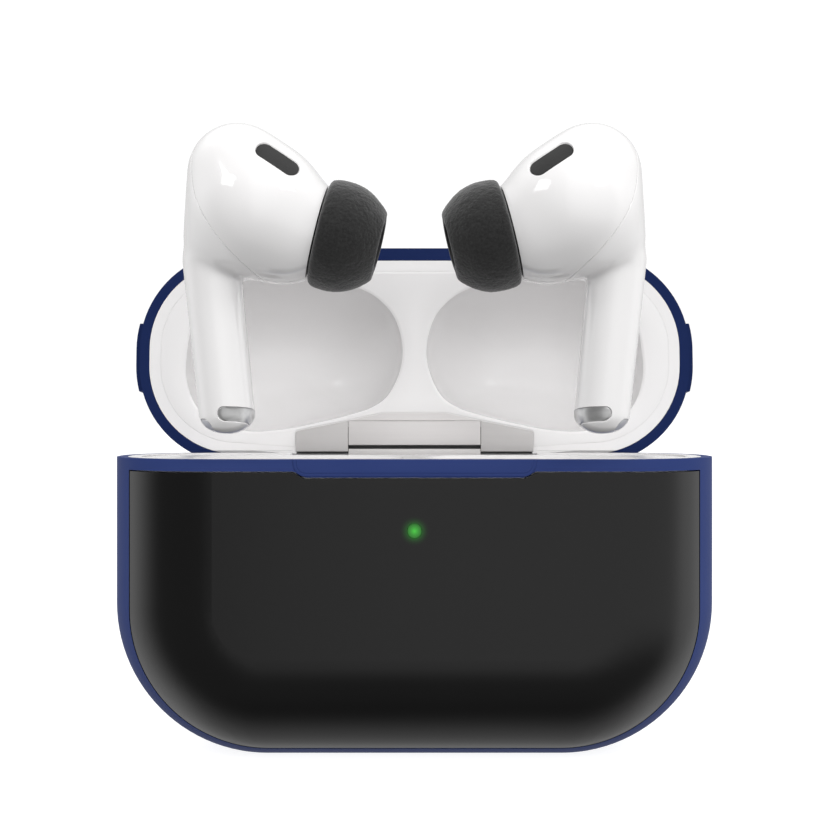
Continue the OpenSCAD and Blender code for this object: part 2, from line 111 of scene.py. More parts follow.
def round_cone(p, a, b, ra, rb):
    """Signed distance to the hull of two balls."""
    a, b = np.array(a, float), np.array(b, float)
    ba = b - a
    l2 = ba @ ba
    rr = ra - rb
    a2 = l2 - rr * rr
    pa = p - a
    y = pa @ ba
    z = y - l2
    x2 = ((pa * l2 - np.outer(y, ba)) ** 2).sum(1)
    y2 = y * y * l2
    z2 = z * z * l2
    k = np.sign(rr) * rr * rr * x2
    side = (np.sqrt(x2 * a2 / l2) + y * rr) / l2 - ra
    low = np.sqrt(x2 + y2) / l2 - ra
    high = np.sqrt(x2 + z2) / l2 - rb
    return np.where(np.sign(z) * a2 * z2 > k, high, np.where(np.sign(y) * a2 * y2 < k, low, side))


# Step over which a field's slope is measured, in millimetres.
REACH = 0.02


def settle(points, field, rounds):
    """Moves points onto the field's zero surface along its gradient."""
    for _ in range(rounds):
        value = field(points)
        slope = np.stack([
            (field(points + REACH * e) - field(points - REACH * e)) / (2 * REACH) for e in np.eye(3)
        ], 1)
        points = points - slope * (value / np.maximum((slope ** 2).sum(1), 1e-6))[:, None]
    return points


# How often, and how far, a point is pulled to the middle of its neighbours.
SPREAD_ROUNDS = 6
SPREAD_PULL = 0.6


def implicit_mesh(field, low, high, step):
    """Evenly spread quads on the zero surface of a field, as points and faces.

    Each grid cell that the surface crosses gives one point. The points are then spread evenly by
    pulling each towards its neighbours and settling it back on the surface.
    """
    axes = [np.arange(l, h + step, step) for l, h in zip(low, high)]
    grid = np.stack(np.meshgrid(*axes, indexing="ij"), -1)
    inside = field(grid.reshape(-1, 3)).reshape(grid.shape[:3]) < 0
    n = np.array(inside.shape) - 1
    count = sum(
        inside[a:a + n[0], b:b + n[1], c:c + n[2]].astype(int)
        for a in (0, 1) for b in (0, 1) for c in (0, 1)
    )
    mixed = (count > 0) & (count < 8)
    index = np.full(mixed.shape, -1)
    index[mixed] = np.arange(mixed.sum())
    points = np.array(low) + (np.argwhere(mixed) + 0.5) * step
    faces = []
    for axis in range(3):
        u, v = (axis + 1) % 3, (axis + 2) % 3
        here = np.moveaxis(inside, (axis, u, v), (0, 1, 2))
        cell = np.moveaxis(index, (axis, u, v), (0, 1, 2))
        i, j, k = np.nonzero(here[:-1, 1:-1, 1:-1] != here[1:, 1:-1, 1:-1])
        quad = np.stack([cell[i, j, k], cell[i, j + 1, k], cell[i, j + 1, k + 1], cell[i, j, k + 1]], 1)
        turned = ~here[:-1, 1:-1, 1:-1][i, j, k]
        quad[turned] = quad[turned][:, ::-1]
        faces.append(quad)
    faces = np.concatenate(faces)
    pairs = np.concatenate([faces[:, [a, (a + 1) % 4]] for a in range(4)])
    for _ in range(SPREAD_ROUNDS):
        total = np.zeros_like(points)
        share = np.zeros(len(points))
        for a, b in ((0, 1), (1, 0)):
            np.add.at(total, pairs[:, a], points[pairs[:, b]])
            np.add.at(share, pairs[:, a], 1)
        points = settle(points * (1 - SPREAD_PULL) + SPREAD_PULL * total / share[:, None], field, 2)
    return settle(points, field, 3), faces


def to_bmesh(points, faces):
    bm = bmesh.new()
    verts = [bm.verts.new(p) for p in points]
    for f in faces:
        bm.faces.new([verts[i] for i in f])
    bm.normal_update()
    return bm


def from_bmesh(bm):
    bm.verts.ensure_lookup_table()
    bm.verts.index_update()
    points = np.array([v.co for v in bm.verts])
    faces = [[v.index for v in f.verts] for f in bm.faces]
    return points, faces


def signed_area(ring):
    """Area of a flat closed outline, positive when it runs anticlockwise."""
    x, y = ring[:, 0], ring[:, 1]
    return 0.5 * np.sum(x * np.roll(y, -1) - np.roll(x, -1) * y)


def anticlockwise(ring):
    return ring[::-1] if signed_area(ring) < 0 else ring


def open_lid(points):
    """Points drawn with the lid closed, moved to where the open lid stands."""
    turn = math.radians(-LID_OPEN)
    y, z = points[:, 1] - HINGE_Y, points[:, 2] - HINGE_Z
    out = points.copy()
    out[:, 1] = HINGE_Y + y * math.cos(turn) - z * math.sin(turn)
    out[:, 2] = HINGE_Z + y * math.sin(turn) + z * math.cos(turn)
    return out


# ---------- materials ----------

def new_material(name):
    mat = bpy.data.materials.new(name)
    mat.use_nodes = True
    tree = mat.node_tree
    return mat, tree, tree.nodes["Principled BSDF"]


def node(tree, kind, **values):
    """New shader node with its properties or inputs set by name."""
    made = tree.nodes.new(kind)
    for key, value in values.items():
        if hasattr(made, key):
            setattr(made, key, value)
        else:
            made.inputs[key.replace("_", " ")].default_value = value
    return made


def noise_at(tree, scale, detail=3.0, rough=0.55):
    """A noise pattern in object space, so that it stays with its piece."""
    where = tree.nodes.new("ShaderNodeTexCoord")
    pattern = node(tree, "ShaderNodeTexNoise", Scale=scale, Detail=detail, Roughness=rough)
    tree.links.new(where.outputs["Object"], pattern.inputs["Vector"])
    return pattern.outputs["Fac"]


def remap(tree, source, low, high, start=0.0, end=1.0):
    """Source values from start to end, moved to run from low to high."""
    made = node(tree, "ShaderNodeMapRange")
    for key, value in (("From Min", start), ("From Max", end), ("To Min", low), ("To Max", high)):
        made.inputs[key].default_value = value
    tree.links.new(source, made.inputs["Value"])
    return made.outputs["Result"]


def tint(tree, bsdf, source, dark, light):
    """Base colour that runs from dark to light with source."""
    mix = tree.nodes.new("ShaderNodeMix")
    mix.data_type = "RGBA"
    mix.inputs[6].default_value = (*dark, 1)
    mix.inputs[7].default_value = (*light, 1)
    tree.links.new(source, mix.inputs[0])
    tree.links.new(mix.outputs[2], bsdf.inputs["Base Color"])


def grain(tree, bsdf, source, strength, distance):
    """Fine relief from source, distance metres deep."""
    bump = node(tree, "ShaderNodeBump", Strength=strength, Distance=distance)
    tree.links.new(source, bump.inputs["Height"])
    tree.links.new(bump.outputs["Normal"], bsdf.inputs["Normal"])


def mottled(name, scale, detail, dark, light, rough_low, rough_high):
    """Material whose colour and roughness drift together between two values."""
    mat, tree, bsdf = new_material(name)
    cloud = noise_at(tree, scale, detail)
    tint(tree, bsdf, remap(tree, cloud, 0, 1, 0.3, 0.7), dark, light)
    tree.links.new(remap(tree, cloud, rough_low, rough_high), bsdf.inputs["Roughness"])
    return mat, tree, bsdf, cloud


def navy_rubber(name, dark, light):
    """Matt moulded elastomer with a fine grain and almost no shine."""
    mat, tree, bsdf, _ = mottled(name, 90.0, 2.0, dark, light, 0.44, 0.54)
    bsdf.inputs["Specular IOR Level"].default_value = 0.03
    grain(tree, bsdf, noise_at(tree, 5200.0, 2.0), 0.12, 0.00002)
    return mat


def black_panel():
    """Smooth black plastic that glows faintly green round the status light."""
    mat, tree, bsdf, _ = mottled(
        "black_panel", 60.0, 2.0, (0.0036, 0.0035, 0.0035), (0.0046, 0.0045, 0.0045), 0.20, 0.24,
    )
    grain(tree, bsdf, noise_at(tree, 6500.0, 2.0), 0.06, 0.00002)
    dim = node(tree, "ShaderNodeMath", operation="MULTIPLY")
    dim.inputs[1].default_value = 1.1
    tree.links.new(led_distance(tree, 3.0), dim.inputs[0])
    tree.links.new(dim.outputs[0], bsdf.inputs["Emission Strength"])
    bsdf.inputs["Emission Color"].default_value = (0.03, 0.40, 0.03, 1)
    return mat


# Distance over which the status light's glow dies away, in metres.
LED_REACH = 0.0017


def led_distance(tree, sharp):
    """One at the middle of the status light, falling to nothing at LED_REACH."""
    low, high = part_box("cover_light_window")
    centre = (low + high) / 2
    where = tree.nodes.new("ShaderNodeNewGeometry")
    away = node(tree, "ShaderNodeVectorMath", operation="DISTANCE")
    away.inputs[1].default_value = (centre.x, low.y, centre.z)
    tree.links.new(where.outputs["Position"], away.inputs[0])
    level = remap(tree, away.outputs["Value"], 1.0, 0.0, 0.0, LED_REACH)
    shape = node(tree, "ShaderNodeMath", operation="POWER")
    shape.inputs[1].default_value = sharp
    tree.links.new(level, shape.inputs[0])
    return shape.outputs[0]


def white_gloss(name, dark, light, rough):
    """Polished white plastic with a trace of moulding waviness."""
    mat, tree, bsdf, _ = mottled(name, 45.0, 2.0, dark, light, rough, rough + 0.04)
    grain(tree, bsdf, noise_at(tree, 260.0, 1.0), 0.03, 0.00004)
    return mat


def lacquer(name, dark, light, rough):
    """Glossy white under a clear coat."""
    mat = white_gloss(name, dark, light, rough)
    bsdf = mat.node_tree.nodes["Principled BSDF"]
    bsdf.inputs["Coat Weight"].default_value = 1.0
    bsdf.inputs["Coat Roughness"].default_value = 0.03
    return mat


def satin_metal(name, dark, light, rough, metallic):
    """Satin finish brushed along X."""
    mat, tree, bsdf = new_material(name)
    where = tree.nodes.new("ShaderNodeTexCoord")
    stretch = node(tree, "ShaderNodeMapping")
    stretch.inputs["Scale"].default_value = (60, 2500, 2500)
    brush = node(tree, "ShaderNodeTexNoise", Scale=1.0, Detail=3.0)
    tree.links.new(where.outputs["Object"], stretch.inputs["Vector"])
    tree.links.new(stretch.outputs["Vector"], brush.inputs["Vector"])
    tint(tree, bsdf, remap(tree, brush.outputs["Fac"], 0, 1, 0.25, 0.75), dark, light)
    tree.links.new(remap(tree, brush.outputs["Fac"], rough - 0.04, rough + 0.05), bsdf.inputs["Roughness"])
    bsdf.inputs["Metallic"].default_value = metallic
    return mat


def foam_skin():
    """Dark open-cell foam: pores in colour and relief under a soft sheen."""
    mat, tree, bsdf = new_material("memory_foam")
    cells = noise_at(tree, 4200.0, 3.0, 0.75)
    tint(tree, bsdf, remap(tree, cells, 0, 1, 0.35, 0.65), (0.0045, 0.0045, 0.0045), (0.017, 0.017, 0.017))
    bsdf.inputs["Roughness"].default_value = 0.85
    bsdf.inputs["Sheen Weight"].default_value = 0.32
    bsdf.inputs["Sheen Roughness"].default_value = 0.5
    grain(tree, bsdf, cells, 0.8, 0.00006)
    return mat


def plain_noise(name, dark, light, rough, scale=900.0, metallic=0.0, bump=0.1):
    """A moulded or sheet material with fine mottling."""
    mat, tree, bsdf, cloud = mottled(name, scale, 3.0, dark, light, rough - 0.05, rough + 0.05)
    bsdf.inputs["Metallic"].default_value = metallic
    grain(tree, bsdf, cloud, bump, 0.00003)
    return mat


def glow_window():
    """Green light behind a diffusing lens: bright in the middle, dim at its rim."""
    mat, tree, bsdf = new_material("status_glow")
    shape = led_distance(tree, 2.6)
    tree.links.new(shape, bsdf.inputs["Emission Strength"])
    bsdf.inputs["Emission Color"].default_value = (0.055, 0.56, 0.045, 1)
    bsdf.inputs["Base Color"].default_value = (0.01, 0.012, 0.01, 1)
    bsdf.inputs["Roughness"].default_value = 0.35
    return mat


NAVY = navy_rubber("navy_rubber", (0.028, 0.047, 0.165), (0.034, 0.055, 0.183))
# a darker copy of the navy rubber, as painted shade on the cover's parting face round the lid
NAVY_RIM_SHADE = navy_rubber("navy_rim_painted_shade", (0.009, 0.019, 0.078), (0.012, 0.023, 0.088))
PANEL = black_panel()
CASE_WHITE = white_gloss("case_white", (0.80, 0.79, 0.79), (0.825, 0.815, 0.815), 0.14)
BUD_WHITE = lacquer("bud_white", (0.81, 0.80, 0.80), (0.835, 0.825, 0.825), 0.12)
HINGE_METAL = satin_metal("hinge_metal", (0.53, 0.515, 0.51), (0.56, 0.545, 0.54), 0.38, 0.15)
HINGE_LIGHT = satin_metal("hinge_metal_light", (0.64, 0.62, 0.615), (0.67, 0.65, 0.645), 0.36, 0.15)
STEEL = satin_metal("steel", (0.55, 0.54, 0.53), (0.66, 0.65, 0.64), 0.25, 1.0)
FOAM = foam_skin()
DARK = plain_noise("dark_plastic", (0.012, 0.012, 0.013), (0.02, 0.02, 0.022), 0.5)
MESH_BLACK = plain_noise("mesh_black", (0.003, 0.003, 0.003), (0.010, 0.010, 0.010), 0.55, 5000.0, 0.0, 0.5)
MIC_GREY = plain_noise("mic_grey", (0.55, 0.55, 0.56), (0.70, 0.70, 0.71), 0.4, 5000.0, 0.0, 0.4)
CONTACT = satin_metal("contact_metal", (0.62, 0.62, 0.62), (0.74, 0.74, 0.74), 0.32, 0.85)
CORE_RUBBER = plain_noise("core_rubber", (0.02, 0.02, 0.021), (0.035, 0.035, 0.037), 0.6)
BOARD = plain_noise("board_green", (0.01, 0.06, 0.025), (0.015, 0.09, 0.035), 0.4, 1500.0)
CELL = plain_noise("battery_foil", (0.45, 0.45, 0.46), (0.55, 0.55, 0.56), 0.35, 300.0, 0.8)
FLEX = plain_noise("flex", (0.35, 0.14, 0.02), (0.45, 0.19, 0.03), 0.4)
COPPER = plain_noise("copper", (0.55, 0.22, 0.10), (0.68, 0.30, 0.15), 0.3, 2500.0, 1.0)
FERRITE = plain_noise("ferrite", (0.03, 0.03, 0.032), (0.05, 0.05, 0.052), 0.7)
GOLD = plain_noise("gold", (0.75, 0.50, 0.16), (0.85, 0.60, 0.22), 0.25, 1200.0, 1.0)
GREEN = glow_window()

BY_SLOT = {
    "navy_tpu": NAVY, "black_panel": PANEL, "light_window": GREEN, "white_gloss": CASE_WHITE,
    "hinge_metal": HINGE_METAL, "steel": STEEL, "board": BOARD, "battery_foil": CELL, "flex": FLEX,
    "copper": COPPER, "ferrite": FERRITE, "led": GREEN, "magnet": STEEL, "dark_plastic": DARK,
    "gold": GOLD, "bud_gloss": BUD_WHITE, "mesh_black": MESH_BLACK, "core_rubber": CORE_RUBBER,
    "foam": FOAM, "driver_metal": STEEL, "cell_metal": CELL, "bud_board": BOARD, "contact_metal": STEEL,
}


# A face belongs to the lid's rim when its normal lies this close to the rim's, as a cosine.
FACES_RIM = 0.9


def dress_cad_nodes():
    """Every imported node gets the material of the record's slot for it."""
    slots = {part["node"]: part["material_slot"] for part in frame["record"]["subparts"]}
    for name, obj in NODES.items():
        obj.data.materials.clear()
        obj.data.materials.append(BY_SLOT[slots[name]])
    # painted shade: the cover's parting face round the lid gets a darker copy of the navy rubber
    rim = NODES["cover_lid_frame"].data
    rim.materials.append(NAVY_RIM_SHADE)
    for face in rim.polygons:
        if face.normal.dot(LID_FACING) > FACES_RIM:
            face.material_index = 1


# ---------- surface inlays ----------

# Steps in a quarter of a round end, and spacing of the points along straight runs, in millimetres.
ARC_STEPS = 12
OUTLINE_STEP = 0.16


def slot_ring(half_long, half_wide):
    """Outline of a slot with round ends, its points evenly spread."""
    r = min(half_long, half_wide)
    out = []
    for cx, cy, start in ((1, 1, 0), (-1, 1, 90), (-1, -1, 180), (1, -1, 270)):
        for k in range(ARC_STEPS + 1):
            a = math.radians(start + 90 * k / ARC_STEPS)
            out.append((cx * (half_long - r) + r * math.cos(a), cy * (half_wide - r) + r * math.sin(a)))
    # drop repeated points and fill the straight runs evenly
    dense = []
    for k, p in enumerate(out):
        q = out[(k + 1) % len(out)]
        gap = math.dist(p, q)
        if gap < 1e-6:
            continue
        steps = max(1, round(gap / OUTLINE_STEP))
        dense += [(p[0] + (q[0] - p[0]) * t / steps, p[1] + (q[1] - p[1]) * t / steps) for t in range(steps)]
    return np.array(dense)


def normals_of(points, field):
    """Unit normals of a field at the points."""
    slope = np.stack([(field(points + REACH * e) - field(points - REACH * e)) for e in np.eye(3)], 1)
    return slope / np.linalg.norm(slope, axis=1)[:, None]


def on_surface(flat, place, field, lift):
    """Flat outline points laid on the field's surface by place, then lifted along its normals."""
    points = place(flat)
    return points + normals_of(points, field) * lift


def grow_ring(ring, amount):
    """Moves a closed outline outwards by amount."""
    ahead, behind = np.roll(ring, -1, 0), np.roll(ring, 1, 0)
    along = ahead - behind
    along /= np.linalg.norm(along, axis=1)[:, None]
    return ring + np.stack([along[:, 1], -along[:, 0]], 1) * amount


def capped_rings(rings):
    """Closed solid from rings of equal length, capped at both ends."""
    count = len(rings[0])
    points = np.concatenate(rings)
    faces = ring_faces(len(rings), count)
    faces.append(tuple(range(count))[::-1])
    faces.append(tuple((len(rings) - 1) * count + i for i in range(count)))
    return points, faces


def pocket_cutter(ring, place, field, depth, flare=0.10):
    """Cutter for a pocket whose floor and softened lip follow the surface.

    It is a stack of outlines: the floor from its middle out, the wall, the lip that widens by flare
    at the surface, and a lid above the surface from its edge in.
    """
    shares = np.linspace(0.08, 0.92, 7)
    floor_levels = [(ring * t, -depth) for t in shares]
    wall = [(ring, -depth), (ring, -0.16)]
    lip = [(grow_ring(ring, flare * 0.35), -0.05), (grow_ring(ring, flare), 0.02)]
    above = [(grow_ring(ring, flare + 0.1), 0.25)] + [(ring * t, 0.27) for t in shares[::-1]]
    return capped_rings([on_surface(r, place, field, h) for r, h in floor_levels + wall + lip + above])


def inlay_patch(ring, place, field, top, bottom, dish=0.0):
    """A thin plate that fills a pocket, following the surface, with a rounded rim and a dished middle."""
    rim = ((0.55, bottom), (1.0, bottom), (1.0, top - 0.07), (0.985, top - 0.02), (0.95, top))
    rings = [on_surface(ring * share, place, field, height) for share, height in rim]
    for share in np.linspace(0.85, 0.06, 9):
        rings.append(on_surface(ring * share, place, field, top - dish * (1 - share ** 2)))
    return capped_rings(rings)


def carve(points, faces, cutters):
    """Takes the cutters out of a closed mesh and returns the result as points and faces."""
    def working_object(p, f):
        mesh = bpy.data.meshes.new("work")
        mesh.from_pydata([tuple(v) for v in p], [], [tuple(q) for q in f])
        obj = bpy.data.objects.new("work", mesh)
        bpy.context.scene.collection.objects.link(obj)
        return obj
    body = working_object(points, faces)
    tools = [working_object(*c) for c in cutters]
    for obj in [body, *tools]:
        bm = bmesh.new()
        bm.from_mesh(obj.data)
        bmesh.ops.recalc_face_normals(bm, faces=bm.faces)
        bm.to_mesh(obj.data)
        bm.free()
    for tool in tools:
        step = body.modifiers.new("cut", "BOOLEAN")
        step.operation, step.solver, step.object = "DIFFERENCE", "MANIFOLD", tool
    bpy.context.view_layer.update()
    shaped = body.evaluated_get(bpy.context.evaluated_depsgraph_get()).to_mesh()
    cut_points = np.array([tuple(v.co) for v in shaped.vertices])
    cut_faces = [tuple(q.vertices) for q in shaped.polygons]
    if not len(cut_points):
        raise RuntimeError("nothing left after cutting")
    for obj in [body, *tools]:
        bpy.data.objects.remove(obj)
    return cut_points, cut_faces


# ---------- buds ----------

# The bud's form, in millimetres from the point under the bud on the case's middle plane: across,
# forwards and backwards, and up.
STEM_LOW = np.array([18.16, 0.0, 1.95])
STEM_HIGH = np.array([19.67, 0.0, 16.8])
STEM_R = 2.70
STEM_R_HIGH = 2.79
HEAD_TOP, HEAD_TOP_R = (17.0, -1.2, 25.15), 4.26
HEAD_MID, HEAD_MID_R = (14.93, -1.5, 21.57), 6.11
HEAD_BACK, HEAD_BACK_R = (18.76, -0.6, 19.12), 2.93
HEAD_NECK, HEAD_NECK_R = (12.47, -1.4, 19.95), 5.48
NECK_END_R = 4.26
TIP_BASE = np.array([9.2, -1.35, 19.5])
TIP_AXIS = np.array([-0.970, 0.010, -0.241]) / np.linalg.norm([-0.970, 0.010, -0.241])
# Widths over which the round forms run into each other: within the head, at its neck, at the stem.
BLEND_HEAD, BLEND_NECK, BLEND_STEM = 3.0, 1.5, 1.2
# How much flatter than a ball the stem's end is.
DOME = 1.4
# How quickly the back of the bud flattens beyond BACK_START, so that it clears the rising case.
BACK_START = 0.5
BACK_FLAT = 0.024
# Half width of the softened lip along the parting line between the shells, and its depth.
SEAM_LIP = 0.07
SEAM_DEPTH = 0.05
# Half of the hairline between the two shells.
SEAM_HALF_GAP = 0.006


def bud_field(p):
    """Signed distance, nearly, to the right bud without its tip."""
    p = p.copy()
    p[:, 1] += BACK_FLAT * np.maximum(p[:, 1] - BACK_START, 0) ** 2
    head = round_cone(p, HEAD_TOP, HEAD_MID, HEAD_TOP_R, HEAD_MID_R)
    head = smooth_min(head, round_cone(p, HEAD_TOP, HEAD_BACK, HEAD_TOP_R, HEAD_BACK_R), BLEND_HEAD)
    head = smooth_min(head, round_cone(p, HEAD_MID, HEAD_BACK, HEAD_MID_R, HEAD_BACK_R), BLEND_HEAD)
    neck_end = TIP_BASE - 0.5 * TIP_AXIS
    head = smooth_min(head, round_cone(p, HEAD_NECK, neck_end, HEAD_NECK_R, NECK_END_R), BLEND_NECK)
    q = p.copy()
    low = STEM_LOW[2]
    q[:, 2] = np.where(p[:, 2] < low, low - (low - p[:, 2]) * DOME, p[:, 2])
    stem = round_cone(q, STEM_LOW, STEM_HIGH, STEM_R, STEM_R_HIGH)
    return smooth_min(head, stem, BLEND_STEM)


def seam_x(z):
    """Where the parting line between stem shell and head shell runs, seen from the front."""
    neck, turning, top = 18.7, 19.0, 25.6
    up = np.minimum(z, top) - turning
    return neck + 0.74 * up - 0.056 * up ** 2


def place_bud(points, side):
    """Local bud points to the frame: side 1 is the right bud, -1 the left."""
    out = np.array(points, float)
    out[:, 0] *= side
    return out + np.array([0.0, -BUD_OUT, BUD_Z])


# The vent's place seen from the front, across and up, and its slope down towards the tip.
VENT_CENTRE = (12.75, 25.87)
VENT_TILT = math.radians(34.0)
VENT_HALF = (2.30, 0.80)
MIC_HALF = (0.55, 0.55)
# Depth of the pockets for the vent, and for the contacts and the microphone.
VENT_DEPTH = 0.5
SMALL_DEPTH = 0.25
# Each charging contact: where its middle is round the stem in degrees from the front, its rise above
# the last full ring, how its ends fall and tilt, and its half length and half height.
CONTACTS = (
    ((42.0, -0.22, 0.10, 0.42), (2.62, 0.70)),
    ((-57.0, -0.88, 0.1, 0.0), (0.88, 0.62)),
)


def vent_place(flat):
    """Lays a flat outline on the front of the head by moving its points along Y onto the surface."""
    c, t = math.cos(VENT_TILT), math.sin(VENT_TILT)
    x = VENT_CENTRE[0] - flat[:, 0] * c - flat[:, 1] * t
    z = VENT_CENTRE[1] - flat[:, 0] * t + flat[:, 1] * c
    y = np.full(len(x), -6.0)
    reach = np.array([0, REACH, 0])
    for _ in range(12):
        p = np.column_stack([x, y, z])
        slope = (bud_field(p + reach) - bud_field(p - reach)) / (2 * REACH)
        y = y - bud_field(p) / np.where(np.abs(slope) < 0.15, -0.15, slope)
    return np.column_stack([x, y, z])


def contact_place(centre_deg, rise, fall, tilt):
    """Gives the function that lays a flat outline round the rounded end of the stem."""
    axis = (STEM_HIGH - STEM_LOW) / np.linalg.norm(STEM_HIGH - STEM_LOW)
    front = np.array([0.0, -1.0, 0.0])
    inner = np.cross(front, axis)
    if inner[0] > 0:
        inner = -inner
    drop = STEM_R / DOME

    def place(flat):
        turn = flat[:, 0] / STEM_R
        height = rise + flat[:, 1] - fall * turn ** 2 - tilt * turn
        angle = math.radians(centre_deg) + turn
        level = np.clip(height / drop, -0.97, 0)
        reach = STEM_R * np.sqrt(1 - level ** 2)
        spoke = np.outer(np.cos(angle), front) + np.outer(np.sin(angle), inner)
        return settle(STEM_LOW + np.outer(height, axis) + spoke * reach[:, None], bud_field, 5)
    return place


def mic_place(flat):
    """Lays a flat outline on the lowest point of the stem."""
    start = STEM_LOW + np.array([0, 0, -STEM_R / DOME])
    return settle(start + np.outer(flat[:, 0], (1, 0, 0)) + np.outer(flat[:, 1], (0, 1, 0)), bud_field, 5)


def cut_off(bm, point, normal):
    """Removes what lies beyond a plane and closes the hole."""
    geometry = list(bm.verts) + list(bm.edges) + list(bm.faces)
    cut = bmesh.ops.bisect_plane(bm, geom=geometry, plane_co=point, plane_no=normal, clear_outer=True)
    edges = [e for e in cut["geom_cut"] if isinstance(e, bmesh.types.BMEdge)]
    bmesh.ops.holes_fill(bm, edges=[e for e in edges if e.is_boundary])


def split_shell(points, faces, keep):
    """The part of the bud on one side of the parting line, with a softened lip along it."""
    # straightened so that the parting line is the plane x = 0
    warped = points.copy()
    warped[:, 0] -= seam_x(points[:, 2])
    bm = to_bmesh(warped, faces)
    for offset in (SEAM_LIP, SEAM_LIP * 0.5):
        bmesh.ops.bisect_plane(
            bm, geom=list(bm.verts) + list(bm.edges) + list(bm.faces), plane_co=(offset * keep, 0, 0),
            plane_no=(1, 0, 0), dist=1e-6,
        )
    cut_off(bm, (SEAM_HALF_GAP * keep, 0, 0), (-keep, 0, 0))
    near = [v for v in bm.verts if abs(v.co.x) < SEAM_LIP * 0.9]
    for v in bm.verts:
        v.co.x += float(seam_x(v.co.z))
    spots = np.array([v.co for v in near])
    normals = normals_of(spots, bud_field)
    away = np.abs(spots[:, 0] - seam_x(spots[:, 2]))
    sink = SEAM_DEPTH * np.clip(1 - away / SEAM_LIP, 0, 1) ** 1.5
    for v, n, d in zip(near, normals, sink):
        v.co -= Vector(n) * d
    return bm


def bud_shells(side, shape):
    """Head shell and stem shell of one bud, and the small plates let into them."""
    tag = "right" if side > 0 else "left"
    body = f"{tag}_bud"
    points, faces = shape
    vent, mic = slot_ring(*VENT_HALF), slot_ring(*MIC_HALF)
    contacts = [(contact_place(*where), slot_ring(*half)) for where, half in CONTACTS]
    for part, keep in (("head", -1), ("stem", 1)):
        bm = split_shell(points, faces, keep)
        if part == "head":
            cut_off(bm, tuple(TIP_BASE - 0.1 * TIP_AXIS), tuple(TIP_AXIS))
            cutters = [pocket_cutter(vent, vent_place, bud_field, VENT_DEPTH)]
        else:
            cutters = [pocket_cutter(ring, place, bud_field, SMALL_DEPTH, 0.08) for place, ring in contacts]
            cutters.append(pocket_cutter(mic, mic_place, bud_field, SMALL_DEPTH, 0.06))
        bm.normal_update()
        own_points, own_faces = carve(*from_bmesh(bm), cutters)
        bm.free()
        if side < 0:
            own_faces = [f[::-1] for f in own_faces]
        finish_mesh(
            f"{tag}_bud_{part}", place_bud(own_points, side), own_faces, body, BUD_WHITE,
            [f"{tag}_{part}_shell"],
        )

    def inlay(name, ring, place, top, bottom, dish, mat, stands_for):
        """Plate in its pocket: top and bottom are its heights from the bud's surface."""
        p, f = inlay_patch(ring, place, bud_field, top, bottom, dish)
        f = f if side < 0 else [q[::-1] for q in f]
        finish_mesh(f"{tag}_{name}", place_bud(p, side), f, body, mat, stands_for, 50)

    inlay(
        "vent_grille", vent * 0.995, vent_place, -0.14, 0.02 - VENT_DEPTH, 0.05, MESH_BLACK,
        [f"{tag}_vent_mesh"],
    )
    for k, (place, ring) in enumerate(contacts):
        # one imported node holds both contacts, so the first piece stands for it
        stands_for = [f"{tag}_charge_contacts"] if k == 0 else ()
        inlay(
            f"charge_contact_{k + 1}", ring * 0.99, place, -0.03, 0.01 - SMALL_DEPTH, 0.09, CONTACT,
            stands_for,
        )
    inlay(
        "mic_grille", mic * 0.98, mic_place, -0.05, 0.01 - SMALL_DEPTH, 0.02, MIC_GREY,
        [f"{tag}_mic_mesh"],
    )


def tip_frame():
    """Two directions across the tip's axis."""
    across = np.cross(TIP_AXIS, (0, 1, 0))
    across /= np.linalg.norm(across)
    return across, np.cross(TIP_AXIS, across)


def smooth_curve(knots, density, closed=False):
    """Catmull-Rom curve through the knots, with about density points a millimetre."""
    knots = np.array(knots, float)
    n = len(knots)
    out = []
    for i in range(n if closed else n - 1):
        pick = [(i + d) % n if closed else min(max(i + d, 0), n - 1) for d in (-1, 0, 1, 2)]
        p0, p1, p2, p3 = knots[pick]
        steps = max(2, int(density * np.linalg.norm(p2 - p1)))
        for t in np.arange(steps) / steps:
            out.append(0.5 * (2 * p1 + (p2 - p0) * t + (2 * p0 - 5 * p1 + 4 * p2 - p3) * t ** 2
                              + (3 * p1 - p0 - 3 * p2 + p3) * t ** 3))
    if not closed:
        out.append(knots[-1])
    return np.array(out)


# The cushion's section, as radius and distance along the tip's axis, from the base round the dome
# and into its mouth.
FOAM_PROFILE = (
    (2.85, 0.20), (3.3, 0.06), (4.0, 0.03), (4.6, 0.05), (5.02, 0.22), (5.24, 0.62), (5.34, 1.4), (5.32, 2.4),
    (5.10, 3.4), (4.66, 4.35), (4.05, 5.2), (3.55, 5.75), (3.2, 5.98), (2.98, 5.95), (2.84, 5.7), (2.8, 5.1),
)
# Points a millimetre along the section, and points round it.
FOAM_DENSITY = 13
FOAM_AROUND = 400
# Unevenness of the foam's skin: height in millimetres and frequency of each layer.
FOAM_LAYERS = ((0.04, 0.9), (0.020, 2.6), (0.030, 4.7))
# Points over which the unevenness fades in at both ends of the section.
FOAM_FADE = 6


